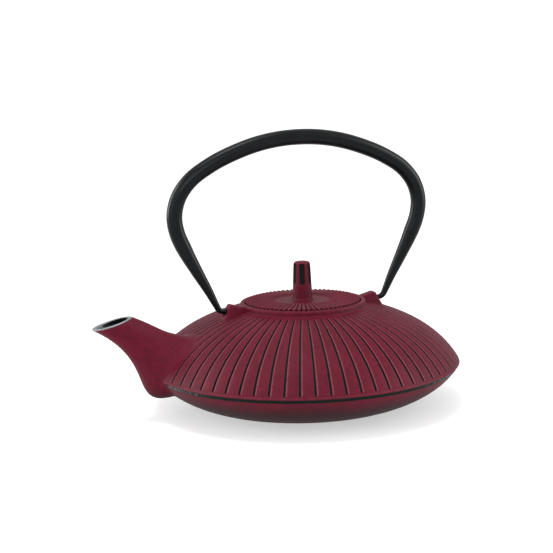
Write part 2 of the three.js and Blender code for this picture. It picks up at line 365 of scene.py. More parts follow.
def make_piece(name: str, surfaces: Sequence[Surface], body: Body,
               material: bpy.types.Material, stands_for: Sequence[str] = ()) -> bpy.types.Object:
    """Smooth mesh object that rides on a body.

    Args:
        name: name of the piece.
        surfaces: its surfaces, in millimetres.
        body: body that it moves with.
        material: its material.
        stands_for: frame nodes that it replaces.

    Returns:
        The new object, at the origin.
    """
    piece = new_object(name, surfaces, material)
    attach(piece, body.value)
    if stands_for:
        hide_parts(*stands_for)
    log.info("%s: %d vertices, %d faces", name, len(piece.data.vertices), len(piece.data.polygons))
    return piece


def carve(piece: bpy.types.Object, tools: Sequence[Surface]) -> None:
    """Cut closed surfaces out of a piece.

    Args:
        piece: closed mesh object.
        tools: surfaces to cut away, in millimetres; the marks they share with the piece stay on
            the cut faces.
    """
    carried = [attribute.name for attribute in piece.data.attributes
               if attribute.domain == "POINT" and attribute.data_type == "FLOAT"]
    cutter = new_object("cutter", tools, piece.data.materials[0], carried)
    boolean = piece.modifiers.new("cut", "BOOLEAN")
    boolean.operation, boolean.object, boolean.solver = "DIFFERENCE", cutter, "EXACT"
    before = len(piece.data.polygons)
    graph = bpy.context.evaluated_depsgraph_get()
    result = bpy.data.meshes.new_from_object(piece.evaluated_get(graph))
    piece.modifiers.clear()
    piece.data = result
    result.set_sharp_from_angle(angle=CREASE)
    bpy.data.objects.remove(cutter)
    log.info("%s: cut, %d to %d faces", piece.name, before, len(result.polygons))


# ---------------------------------------------------------------- shader graphs
class Term:
    """A shader socket that adds Math nodes when it is used in arithmetic."""

    def __init__(self, graph: "Graph", socket: bpy.types.NodeSocket) -> None:
        """Wrap an output socket of a graph."""
        self.graph = graph
        self.socket = socket

    def _math(self, operation: str, *values: Value) -> "Term":
        """Result of one Math node."""
        return self.graph.node("ShaderNodeMath", {"operation": operation}, dict(enumerate(values)))

    def __add__(self, other: Value) -> "Term":
        """Sum."""
        return self._math("ADD", self, other)

    def __radd__(self, other: Value) -> "Term":
        """Reflected sum."""
        return self._math("ADD", other, self)

    def __sub__(self, other: Value) -> "Term":
        """Difference."""
        return self._math("SUBTRACT", self, other)

    def __rsub__(self, other: Value) -> "Term":
        """Reflected difference."""
        return self._math("SUBTRACT", other, self)

    def __mul__(self, other: Value) -> "Term":
        """Product."""
        return self._math("MULTIPLY", self, other)

    def __rmul__(self, other: Value) -> "Term":
        """Reflected product."""
        return self._math("MULTIPLY", other, self)

    def stepped(self, low: float, high: float) -> "Term":
        """Smooth step from 0 at low to 1 at high; low may be the larger."""
        inputs = {"Value": self, "From Min": low, "From Max": high, "To Min": 0.0, "To Max": 1.0}
        return self.graph.node("ShaderNodeMapRange", {"interpolation_type": "SMOOTHSTEP"}, inputs)


class Graph:
    """Node tree of one new material."""

    def __init__(self, name: str) -> None:
        """Start an empty tree with a Principled shader.

        Args:
            name: name of the material.
        """
        self.material = bpy.data.materials.new(name)
        self.material.use_nodes = True
        self.tree = self.material.node_tree
        self.tree.nodes.clear()
        self.output = self.tree.nodes.new("ShaderNodeOutputMaterial")
        self.shader = self.tree.nodes.new("ShaderNodeBsdfPrincipled")
        self.tree.links.new(self.shader.outputs["BSDF"], self.output.inputs["Surface"])
        self.place = self.node("ShaderNodeTexCoord", output="Object")

    def feed(self, socket: bpy.types.NodeSocket, value: Value) -> None:
        """Link a term to a socket, or set a constant on it.

        Args:
            socket: input socket.
            value: term, number, or colour or vector.
        """
        if isinstance(value, Term):
            self.tree.links.new(value.socket, socket)
        elif isinstance(value, (int, float)):
            socket.default_value = value
        else:
            held = list(value)
            if socket.type == "RGBA" and len(held) == 3:
                held.append(1.0)
            socket.default_value = held

    def node(self, kind: str, settings: Optional[Mapping[str, Any]] = None,
             inputs: Optional[Mapping[Union[str, int], Value]] = None,
             output: Union[str, int] = 0) -> Term:
        """Add a node.

        Args:
            kind: node type.
            settings: attributes set first.
            inputs: values or links, by socket name or number.
            output: output socket to return.

        Returns:
            The chosen output.
        """
        made = self.tree.nodes.new(kind)
        for key, value in (settings or {}).items():
            setattr(made, key, value)
        for key, value in (inputs or {}).items():
            self.feed(made.inputs[key], value)
        return Term(self, made.outputs[output])

    def noise(self, scale: float, detail: float = 2.0, roughness: float = 0.5,
              place: Optional[Term] = None) -> Term:
        """Noise about 0.5, with a scale in waves per metre, on object coordinates or another place."""
        inputs = {"Vector": place or self.place, "Scale": scale, "Detail": detail, "Roughness": roughness}
        return self.node("ShaderNodeTexNoise", {"noise_dimensions": "3D"}, inputs)

    def mark(self, mark: Mark) -> Term:
        """Point attribute as a value."""
        return self.node("ShaderNodeAttribute", {"attribute_name": mark.value}, output="Fac")

    def height(self) -> Term:
        """Object Z, in metres."""
        return self.node("ShaderNodeSeparateXYZ", inputs={"Vector": self.place}, output="Z")

    def blended(self, factor: Value, first: Value, second: Value) -> Term:
        """Colour mix: first where the factor is 0, second where it is 1."""
        return self.node("ShaderNodeMix", {"data_type": "RGBA"},
                         {"Factor": factor, 6: first, 7: second}, 2)

    def bump(self, height: Term, strength: float, distance: float) -> Term:
        """Normal bent by a height from 0 to 1, for a relief whose depth is the distance in metres."""
        return self.node("ShaderNodeBump", inputs={"Height": height, "Strength": strength,
                                                   "Distance": distance})

    def finish(self, **inputs: Value) -> bpy.types.Material:
        """Set sockets of the Principled shader.

        Args:
            inputs: values or links, by socket name with _ for a space.

        Returns:
            The material.
        """
        for key, value in inputs.items():
            self.feed(self.shader.inputs[key.replace("_", " ")], value)
        return self.material


@dataclass(frozen=True)
class PaintedIron:
    """Matt paint over a dark first coat on sand-cast iron, worn through to grey metal in places.

    The dark first coat shows in the grooves and also serves as painted shade in recesses and gaps,
    raised edges are lighter, partly from wear and partly as painted highlight, the belly gets painted
    shade towards the foot, and the inside is lined with black enamel.
    """

    name: str = "painted_iron"
    deep: tuple[float, float, float] = (0.062, 0.0026, 0.0088)
    fresh: tuple[float, float, float] = (0.126, 0.0042, 0.0192)
    # colour of worn edges and of painted highlights
    rubbed_and_highlight: tuple[float, float, float] = (0.25, 0.085, 0.105)
    # dark first coat, also used as painted shade
    undercoat_and_shade: tuple[float, float, float] = (0.003, 0.0055, 0.005)
    enamel: tuple[float, float, float] = (0.007, 0.007, 0.0075)
    bare: tuple[float, float, float] = (0.2, 0.215, 0.22)
    # painted shade towards the foot
    belly: tuple[float, float, float] = (0.0105, 0.0032, 0.0046)
    rim_height: float = 26.5 * MM
    grain_size: float = 0.7 * MM
    grain_depth: float = 0.1 * MM
    cloud_scale: float = 38.0  # waves per metre
    streak_scale: float = 260.0
    ragged_scale: float = 900.0

    def material(self) -> bpy.types.Material:
        """Build the paint.

        Returns:
            The finished material.
        """
        graph = Graph(self.name)
        grain = graph.noise(1.0 / self.grain_size, 3.0, 0.6)
        cloud = graph.noise(self.cloud_scale, 3.0, 0.55)
        streak = graph.noise(self.streak_scale, 2.0, 0.5)
        tone = (0.22 * cloud + 0.26 * streak + 0.72 * grain - 0.1).stepped(0.3, 0.7)
        paint = graph.blended(tone, self.deep, self.fresh)
        # painted shade: darker towards the foot of the belly
        level = graph.height() + 0.003 * cloud - 0.0015
        low = level.stepped(0.98 * self.rim_height, 0.45 * self.rim_height)
        paint = graph.blended(low * 0.85, paint, self.belly)
        ragged = graph.noise(self.ragged_scale, 3.0, 0.6)
        # lighter edges: partly wear, partly painted highlight
        edge = (graph.mark(Mark.EDGE) * (0.35 + ragged)).stepped(0.3, 1.0)
        # dark first coat in grooves and flutes, also painted shade in recesses and gaps
        groove = (graph.mark(Mark.GROOVE) + 1.1 * ragged - 0.55).stepped(0.34, 0.66)
        worn = (graph.mark(Mark.WORN) + 0.55 * ragged - 0.28).stepped(0.34, 0.6)
        inside = graph.mark(Mark.INSIDE).stepped(0.35, 0.65)
        colour = graph.blended(edge * 0.58, paint, self.rubbed_and_highlight)
        colour = graph.blended(groove, colour, self.undercoat_and_shade)
        colour = graph.blended(inside, colour, self.enamel)
        colour = graph.blended(worn, colour, self.bare)
        relief = 0.7 * grain + 0.3 * graph.noise(0.35 / self.grain_size, 2.0, 0.5)
        return graph.finish(
            Base_Color=colour,
            Metallic=worn * 0.6,
            Roughness=0.5 + 0.16 * grain - 0.08 * worn - 0.22 * inside,
            Specular_IOR_Level=0.09,
            Normal=graph.bump(relief * (1.0 - 0.7 * inside), 0.8, self.grain_depth),
        )


@dataclass(frozen=True)
class BlackLacquer:
    """Satin black lacquer on the bar of the handle, glossier on the hooks."""

    name: str = "black_lacquer"
    colour: tuple[float, float, float] = (0.0028, 0.0032, 0.0036)
    lighter: tuple[float, float, float] = (0.0048, 0.006, 0.007)

    def material(self) -> bpy.types.Material:
        """Build the lacquer.

        Returns:
            The finished material.
        """
        graph = Graph(self.name)
        cloud = graph.noise(70.0, 3.0, 0.55)
        fine = graph.noise(1500.0, 2.0, 0.5)
        gloss = graph.mark(Mark.GLOSS)
        colour = graph.blended((0.7 * cloud + 0.4 * fine).stepped(0.35, 0.75), self.colour, self.lighter)
        return graph.finish(Base_Color=colour, Roughness=0.26 + 0.1 * fine - 0.1 * gloss,
                            Specular_IOR_Level=0.1,
                            Normal=graph.bump(0.6 * fine + 0.4 * cloud, 0.45, 0.05 * MM))


@dataclass(frozen=True)
class BrushedSteel:
    """Stainless steel, turned or drawn, with fine lines round its axis."""

    name: str = "brushed_steel"
    colour: tuple[float, float, float] = (0.55, 0.56, 0.57)
    shade: tuple[float, float, float] = (0.38, 0.39, 0.4)

    def material(self) -> bpy.types.Material:
        """Build the steel.

        Returns:
            The finished material.
        """
        graph = Graph(self.name)
        stretched = graph.node("ShaderNodeMapping", inputs={"Vector": graph.place, "Scale": (1, 1, 40)})
        lines = graph.noise(180.0, 3.0, 0.6, place=stretched)
        stain = graph.noise(60.0, 3.0, 0.55)
        colour = graph.blended((0.6 * lines + 0.5 * stain).stepped(0.35, 0.8), self.shade, self.colour)
        return graph.finish(Base_Color=colour, Metallic=1.0, Roughness=0.24 + 0.2 * lines,
                            Normal=graph.bump(lines, 0.3, 0.02 * MM))


@dataclass(frozen=True)
class PaleFloor:
    """Plain pale floor with a faint tooth, which glows a little so that shadows stay light."""

    name: str = "pale_floor"
    colour: tuple[float, float, float] = (0.62, 0.62, 0.62)
    glow: float = 0.5

    def material(self) -> bpy.types.Material:
        """Build the floor.

        Returns:
            The finished material.
        """
        graph = Graph(self.name)
        tooth = graph.noise(300.0, 2.0, 0.5)
        colour = graph.blended(tooth, self.colour, [c * 0.985 for c in self.colour])
        return graph.finish(Base_Color=colour, Roughness=0.85, Emission_Color=(1.0, 1.0, 1.0),
                            Emission_Strength=self.glow)


# ---------------------------------------------------------------- pot
@dataclass
class PotCasting:
    """Pot body: flat foot, smooth belly, ribbed shoulder, rounded collar, seat and hollow inside."""

    rim_radius: float
    rim_height: float
    collar_top: float
    base_radius: float = 42.0
    collar_radius: float = 40.5
    collar_foot: float = 63.3
    mouth_radius: float = 37.5
    seat_height: float = 63.0
    throat_radius: float = 31.5
    wall: float = 2.7
    rim_wall: float = 4.5
    grooves: int = 68
    groove_turn: float = math.radians(-112.8)
    groove_width: tuple[float, float] = (1.3, 0.85)
    groove_depth: float = 0.7
    groove_start: float = 2.1  # along the shoulder from the rim
    panel_crown: float = 0.16  # rise of each panel between two grooves
    spout_patch: tuple[float, float, float] = (32.5, 16.3, 19.0)  # smooth oval: height, half sizes
    tuck: float = 0.5  # how far the spout's root is sunk below the skin
    dark_turn: float = math.radians(-105.0)  # facing the view: here the band under the rim stays dark; grey towards the sides is partly wear, partly painted sheen
    inner_rows: int = 30  # rows from the throat to the middle of the floor

    def belly(self, inset: float = 0.0, rim_inset: float = 0.0) -> Array:
        """Control points of the belly, or of its inner skin when inset."""
        return bent_controls((self.base_radius, inset), (0.45, 0.0), (0.84, 0.43),
                             (self.rim_radius - rim_inset, self.rim_height))

    def shoulder(self, inset: float = 0.0, rim_inset: float = 0.0) -> Array:
        """Control points of the shoulder, or of its inner skin when inset.

        Args:
            inset: how far the inner skin lies below the outer one; 0 for the outer.
            rim_inset: the same at the rim.

        Returns:
            Array of 4 x 2 control points.
        """
        end = self.throat_radius if inset else self.collar_radius
        return bent_controls((self.rim_radius - rim_inset, self.rim_height), (0.13, 0.39), (0.42, 0.8),
                             (end, self.collar_foot - inset))

    def skin(self) -> tuple[Array, Array]:
        """Fine outline of the outer skin from base to collar top, and its outward normals.

        Returns:
            Radius and height of each point, and its normal.
        """
        belly = cubic(self.belly(), np.linspace(0.0, 1.0, 160))
        shoulder = cubic(self.shoulder(), np.linspace(0.0, 1.0, 260))[1:]
        collar = np.stack([np.full(16, self.collar_radius),
                           np.linspace(self.collar_foot, self.collar_top, 16)], -1)[1:]
        outline = np.concatenate([belly, shoulder, collar])
        return outline, outline_normals(outline)

    def height_above(self, points: Array) -> tuple[Array, Array]:
        """Distance of points above the outer skin, negative inside, and the direction away from it.

        Each point takes the tangent plane of the outline sample nearest to it.

        Args:
            points: points, of any shape with a last axis of 3.

        Returns:
            The heights, and the directions as unit vectors.
        """
        outline, normals = self.skin()
        radius = np.hypot(points[..., 0], points[..., 1])
        flat = np.stack([radius, points[..., 2]], -1).reshape(-1, 2)
        gaps = ((flat[:, None, :] - outline[None]) ** 2).sum(-1)
        nearest = gaps.argmin(axis=1)
        height = ((flat - outline[nearest]) * normals[nearest]).sum(-1).reshape(radius.shape)
        away = normals[nearest].reshape(*radius.shape, 2)
        return height, np.concatenate([unit(points[..., :2]) * away[..., :1], away[..., 1:]], axis=-1)

    def filleted(self, points: Array, normals: Array, fillet: Array) -> Array:
        """Points near the skin moved out along it, so that the surface meets it in a round fillet.

        The move is r - sqrt(r^2 - (r - h)^2) at a height h below the fillet's radius r, and the
        height above the skin is kept.

        Args:
            points: grid of points.
            normals: their outward unit normals.
            fillet: radius of the fillet at each point.

        Returns:
            The moved points.
        """
        height, away = self.height_above(points)
        reach = np.clip(fillet - height, 0.0, fillet)
        shift = fillet - np.sqrt(np.maximum(fillet ** 2 - reach ** 2, 0.0))
        along = unit(normals - away * (normals * away).sum(-1, keepdims=True))
        moved = points + along * shift[..., None]
        for _ in range(2):
            now, away = self.height_above(moved)
            moved = moved + away * np.where(reach > 0.0, height - now, 0.0)[..., None]
        return moved

    def outline(self) -> tuple[Array, Array]:
        """Whole profile from the middle of the base round to the middle of the floor.

        Returns:
            Radius and height of each row, and how far along the shoulder from the rim each row is:
            -1 for all below the rim, and the shoulder's length plus 1 for all beyond its end.
        """
        rim, height, top = self.rim_radius, self.rim_height, self.collar_top
        recess, stand = 0.7, self.base_radius - 1.5
        foot = np.array([[8.0, recess], [34.0, recess], [35.2, 0.1], [36.2, 0.0], [stand, 0.0]])
        belly = cubic(self.belly(), np.append(np.linspace(0.03, 0.9, 13) ** 0.9, [0.922, 0.934, 0.951]))
        crest = np.array([rim, height]) + np.array([
            [-1.5, -2.0], [-1.6, -1.6], [-1.25, -0.8], [-0.4, -0.45], [-0.02, 0.05], [-0.25, 0.8]])
        shoulder = cubic(self.shoulder(), np.linspace(0.0, 1.0, 600))
        length = arc_length(shoulder)[-1]
        start = self.groove_start
        stations = np.concatenate([[1.6, 2.1, start, start + 0.25, start + 0.7],
                                   np.linspace(start + 2.2, length - 4.6, 33),
                                   [length - 3.5, length - 2.7, length - 2.0]])
        ribbed = resampled(shoulder, stations)
        near_collar = cubic(self.shoulder(), np.array([0.985]))[0]
        collar = rounded_outline([
            (near_collar[0], near_collar[1], 0.0), (self.collar_radius, self.collar_foot + 0.1, 2.0),
            (self.collar_radius, top, 1.35), (self.mouth_radius, top, 0.7),
            (self.mouth_radius, self.seat_height, 0.4), (self.throat_radius, self.seat_height, 0.7),
            (self.throat_radius, self.collar_foot - self.wall, 0.0)], steps=3)
        roof = cubic(self.shoulder(self.wall, self.rim_wall), np.linspace(1.0, 0.0, 11)[1:])
        bowl = cubic(self.belly(self.wall, self.rim_wall), np.linspace(1.0, 0.0, 10)[1:])
        floor = np.array([[20.0, self.wall], [6.0, self.wall]])
        rows = [foot, belly, crest, ribbed, collar, roof, bowl, floor]
        before = len(foot) + len(belly) + len(crest)
        after = sum(len(part) for part in rows) - before - len(ribbed)
        along = np.concatenate([np.full(before, -1.0), stations, np.full(after, length + 1.0)])
        return np.concatenate(rows), along

    def surface(self) -> Surface:
        """Turned profile with the grooves sunk along its normals.

        Columns follow each groove as it narrows: they stand at fixed shares of its half width, and
        then evenly across the panel to the next groove.

        Returns:
            Closed surface.
        """
        profile, along = self.outline()
        normals = outline_normals(profile)
        radius = profile[:, 0]
        length = along.max() - 1.0
        start = self.groove_start
        climb = np.clip(along / length, 0.0, 1.0)
        half = mix(self.groove_width[0], self.groove_width[1], climb) / 2.0
        pitch = TURN / self.grooves
        half_angle = np.minimum(half / np.maximum(radius, 1e-3), 0.27 * pitch)
        share = np.array([-1.35, -1.0, -0.8, -0.4, 0.4, 0.8, 1.0, 1.35])
        across = np.array([0.2, 0.4, 0.6, 0.8])
        edge = 1.35 * half_angle[:, None]
        groove_part = half_angle[:, None] * share
        panel_part = edge + (pitch - 2.0 * edge) * across
        one = np.concatenate([groove_part, panel_part], axis=1)
        turns = self.groove_turn + pitch * np.arange(self.grooves)
        angle = (turns[None, :, None] + one[:, None, :]).reshape(len(profile), -1)
        sunk = 1.0 - smoothstep(0.78, 1.02, np.abs(share))
        floor = np.tile(np.concatenate([sunk, np.zeros(4)]), self.grooves)
        stained = 1.0 - smoothstep(0.7, 1.5, np.abs(share))
        stain = np.tile(np.concatenate([stained, np.zeros(4)]), self.grooves)
        crown = np.tile(np.concatenate([np.zeros(8), 1.0 - (2.0 * across - 1.0) ** 2]), self.grooves)
        # lighter lines beside each groove, stronger on one side: partly wear, partly painted highlight
        edge_wear_and_highlight = np.tile([0.5, 0.0, 0.0, 0.0, 0.0, 0.0, 0.6, 1.0, 0.25, 0.0, 0.0, 0.1], self.grooves)
        run = plateau((start - 0.02, start + 0.12), (length - 3.2, length - 2.2), along)
        grid = revolve(radius[:, None], profile[:, 1:2], angle)
        middle, half_y, half_z = self.spout_patch
        reach = np.hypot(grid[..., 1] / half_y, (grid[..., 2] - middle) / half_z)
        clear = np.where(grid[..., 0] < 0.0, smoothstep(0.98, 1.06, reach), 1.0)
        groove = run[:, None] * floor * clear
        depth = self.groove_depth * groove - self.panel_crown * run[:, None] * crown * clear
        grid = sunken(profile, normals, depth, angle)
        below = self.rim_height - profile[:, 1]
        outside = np.arange(len(profile)) < len(profile) - self.inner_rows
        band = np.where(outside, plateau((-0.1, 0.3), (2.3, 2.9), below), 0.0)
        # grey on the dark band grows away from the view: partly wear, partly painted sheen at grazing
        # angles
        side = 1.0 - np.maximum(np.cos(angle - self.dark_turn), 0.0) ** 6
        inner = np.arange(len(profile)) > int(np.argmax(profile[:, 1])) + 8
        # painted shade on the upper shoulder just under the collar
        painted_collar_shade = 0.24 * smoothstep(0.72, 0.97, climb) * (along <= length)
        fading = (run * mix(1.0, 0.66, climb ** 2))[:, None]
        in_groove = np.maximum(fading * stain * clear, painted_collar_shade[:, None])
        marks = {
            Mark.GROOVE: np.maximum(in_groove, band[:, None] * clear * 0.92),
            # groove edges lighter from wear and painted highlight; painted highlight along the rim crest
            Mark.EDGE: (edge_wear_and_highlight * run[:, None] * clear
                        + 0.8 * np.exp(-((below + 0.55) / 0.5) ** 2)[:, None] * outside[:, None]),
            Mark.WORN: band[:, None] * side * clear * 0.42,
            Mark.INSIDE: inner[:, None] * 1.0,
        }
        return Surface(grid, cap_start=True, cap_end=True, marks=marks)

    def build(self, paint: bpy.types.Material, passage: Surface) -> bpy.types.Object:
        """Make the body and open the passage into the spout.

        Args:
            paint: its finish.
            passage: closed surface of the passage.

        Returns:
            The body.
        """
        piece = make_piece("pot_casting", [self.surface()], Body.POT, paint,
                           ("pot_bowl", "pot_shoulder"))
        carve(piece, [passage])
        return piece


@dataclass
class SpoutCasting:
    """Curved spout that springs from the rim and ends in an oblique oval mouth."""

    pot: PotCasting
    reach: float
    top: float
    tip_drop: float = 6.6  # from the collar's top down to the tip
    mouth_length: float = 24.8  # along X, from the tip back to the upper lip
    mouth_width: float = 16.6
    root_width: float = 40.0
    wall_across: float = 1.8
    wall_along: float = 2.5
    lip_share: float = 0.014
    sides: int = 128

    def rails(self) -> tuple[Array, Array]:
        """Control points of the top and underside lines, in x and z.

        Returns:
            The two sets of 4 x 2 control points.
        """
        pot = self.pot
        top = bent_controls((-0.74 * pot.rim_radius, 0.79 * pot.collar_foot), (0.61, 0.355),
                            (0.46, 0.415), (self.reach + self.mouth_length, self.top))
        under = bent_controls((-0.882 * pot.rim_radius, 0.555 * pot.rim_height), (0.62, -0.16),
                              (0.17, 0.5), (self.reach, pot.collar_top - self.tip_drop))
        return top, under

    def section(self, t: Array, angle: Array, inset: Array) -> Array:
        """Oval section: centre + long half axis * cos + cross half axis * sin, both shortened by the wall.

        Args:
            t: 0 at the root, 1 at the mouth.
            angle: place round the section, 0 on top.
            inset: 0 on the outer skin, 1 on the bore.

        Returns:
            Points of the broadcast shape.
        """
        t, angle, inset = np.broadcast_arrays(t, angle, inset)
        top, under = self.rails()
        high, low = cubic(top, t), cubic(under, t)
        centre, half = (high + low) / 2.0, (high - low) / 2.0
        size = np.linalg.norm(half, axis=-1)
        half = half * ((size - self.wall_along * inset) / size)[..., None]
        width = self.mouth_width + (self.root_width - self.mouth_width) * (1.0 - t) * np.abs(1.0 - t)
        across = (width / 2.0 - self.wall_across * inset) * np.sin(angle)
        flat = centre + half * np.cos(angle)[..., None]
        return np.stack([flat[..., 0], -across, flat[..., 1]], axis=-1)

    def start(self, angle: Array, inset: float, height: float) -> Array:
        """Last t at which the skin, or the bore, is below a height above the pot, for each angle.

        Args:
            angle: places round the section.
            inset: 0 on the outer skin, 1 on the bore.
            height: the height, negative inside the pot.

        Returns:
            One t for each angle.
        """
        t = np.linspace(-0.1, 0.9, 320)
        above, _ = self.pot.height_above(self.section(t[:, None], angle[None], np.array(inset)))
        last = len(t) - 1 - np.argmax((above < height)[::-1], axis=0)
        last = np.clip(last, 0, len(t) - 2)
        column = np.arange(len(angle))
        low, high = above[last, column], above[last + 1, column]
        return t[last] + (t[1] - t[0]) * np.clip((height - low) / np.maximum(high - low, 1e-9), 0.0, 1.0)

    def surface(self) -> Surface:
        """Skin, rounded lip and bore in one closed surface, with its seam hidden in the pot's wall.

        Returns:
            Closed surface.
        """
        angle = np.linspace(0.0, TURN, self.sides, endpoint=False)
        mouth = 1.0 - 0.4 * self.lip_share
        root = self.start(angle, 0.0, -self.pot.tuck)
        ease = (np.linspace(0.0, 1.0, 60) ** 1.5)[:, None]
        t = root + (mouth - root) * ease
        skin = self.section(t, angle[None], np.array(0.0))
        normals = surface_normals(skin)
        middle = skin.mean(axis=1, keepdims=True)
        outward = np.sign(((skin - middle) * normals).sum(axis=-1)).mean()
        fillet = mix(0.8, 3.6, smoothstep(-1.0, 0.2, np.cos(angle)))[None]
        skin = self.pot.filleted(skin, normals * outward, np.broadcast_to(fillet, skin.shape[:2]))
        over = np.linspace(0.0, math.pi, 13)[1:-1, None]
        lip_t = mouth + self.lip_share * np.sin(over) ** 0.7
        lip = self.section(lip_t, angle[None], (1.0 - np.cos(over)) / 2.0)
        inner = self.start(angle, 1.0, -1.3)
        bore_t = mouth + (inner - mouth) * np.linspace(0.0, 1.0, 22)[:, None]
        bore = self.section(bore_t, angle[None], np.array(1.0))
        rows = np.concatenate([skin, lip, bore])
        shape = rows.shape[:2]
        worn = np.zeros(shape)
        first_bore = len(skin) + len(lip)
        worn[len(skin):first_bore] = np.sin(over) ** 0.45
        worn[len(skin) - 1] = 0.3
        tipward = smoothstep(0.2, -0.9, np.cos(angle))
        worn[first_bore:first_bore + 3] = np.array([[0.55], [0.3], [0.1]]) * tipward
        inside = np.zeros(shape)
        inside[first_bore - 1:] = 1.0
        marks = {Mark.WORN: worn, Mark.INSIDE: inside}
        return Surface(rows, wrap_rows=True, marks=marks)

    def passage(self) -> Surface:
        """Bore carried through the pot's wall, a little wider than the spout's own.

        Returns:
            Closed surface.
        """
        t = np.linspace(-0.02, 0.45, 16)[:, None]
        rows = self.section(t, around(72), np.array(0.96))
        return Surface(rows, cap_start=True, cap_end=True, marks={Mark.INSIDE: np.ones(rows.shape[:2])})

    def build(self, paint: bpy.types.Material) -> bpy.types.Object:
        """Make the spout."""
        return make_piece("spout_casting", [self.surface()], Body.POT, paint, ("spout",))


@dataclass
class Lug:
    """Fin between shoulder and collar with a blind eye for the handle's hook."""

    pot: PotCasting
    top: float
    width: float
    eye_height: float
    ridge_radius: float = 50.2
    ridge_drop: float = 0.3  # from the top down to where the outer face starts
    foot: tuple[float, float] = (54.0, 59.6)  # radius and height where the outer face ends
    eye_radius: float = 2.0
    eye_depth: float = 7.0
    roundness: float = 0.2

    def face(self, height: Union[Array, float]) -> Union[Array, float]:
        """Radius of the outer face at a height, on the straight line from the ridge to the foot.

        Args:
            height: heights above the ground.

        Returns:
            The radii, in millimetres.
        """
        ridge_z = self.top - self.ridge_drop
        foot_x, foot_z = self.foot
        return self.ridge_radius + (foot_x - self.ridge_radius) / (ridge_z - foot_z) * (ridge_z - height)

    def surface(self, side: int) -> Surface:
        """Superquadric box warped to the fin's outline, flared where it meets the pot.

        Args:
            side: 1 for the rear lug, -1 for the front one.

        Returns:
            Closed surface.
        """
        lift = np.linspace(-math.pi / 2, math.pi / 2, 56)[1:-1, None]
        turn = around(96)
        power = self.roundness
        ring = signed_power(np.cos(lift), power)
        a = ring * signed_power(np.cos(turn), power)
        b = ring * signed_power(np.sin(turn), power)
        c = np.broadcast_to((signed_power(np.sin(lift), power) + 1.0) / 2.0, a.shape)
        ridge_z = self.top - self.ridge_drop
        root_z = self.pot.collar_foot - 8.0
        inner = self.pot.collar_radius - 1.6
        x = mix(inner, self.face(mix(root_z, ridge_z, c)), (a + 1.0) / 2.0)
        top = mix(self.pot.collar_top - 0.9, ridge_z, (a + 1.0) / 2.0)
        z = mix(root_z, top, c)
        y = b * self.width / 2.0 * mix(1.12, 0.9, c)
        grid = np.stack([x, y, z], axis=-1)
        normals = surface_normals(grid)
        outward = np.sign(((grid - grid.mean(axis=(0, 1))) * normals).sum(-1).mean())
        grid = self.pot.filleted(grid, normals * outward, 1.5 * (1.0 - smoothstep(0.5, 0.85, c)) + 0.01)
        grid = grid * np.array([side, side, 1.0])
        worn = smoothstep(0.75, 1.0, np.abs(a)) * c * 0.25
        return Surface(grid, cap_start=True, cap_end=True, marks={Mark.EDGE: worn})

    def eye(self, side: int) -> Surface:
        """Blind bore along X with a slightly opened mouth, to cut from the lug.

        Args:
            side: 1 for the rear lug, -1 for the front one.

        Returns:
            Closed surface.
        """
        mouth = self.face(self.eye_height)
        bottom = mouth - self.eye_depth
        profile = np.array([[bottom, self.eye_radius], [mouth - 0.9, self.eye_radius],
                            [mouth - 0.1, self.eye_radius + 0.25], [mouth + 0.9, self.eye_radius + 1.1],
                            [mouth + 4.0, self.eye_radius + 1.1]])
        turn = around(40)
        y = profile[:, 1:] * np.cos(turn)
        z = self.eye_height + profile[:, 1:] * np.sin(turn)
        grid = np.stack([np.broadcast_to(profile[:, :1], y.shape), y, z], axis=-1)
        return Surface(grid * np.array([side, side, 1.0]), cap_start=True, cap_end=True)

    def build(self, paint: bpy.types.Material) -> list[bpy.types.Object]:
        """Make both lugs.

        Args:
            paint: their finish.

        Returns:
            The front lug and the rear lug.
        """
        made = []
        for side, name in ((-1, "front"), (1, "rear")):
            piece = make_piece(f"lug_{name}_casting", [self.surface(side)], Body.POT, paint,
                               (f"lug_{name}",))
            carve(piece, [self.eye(side)])
            made.append(piece)
        return made


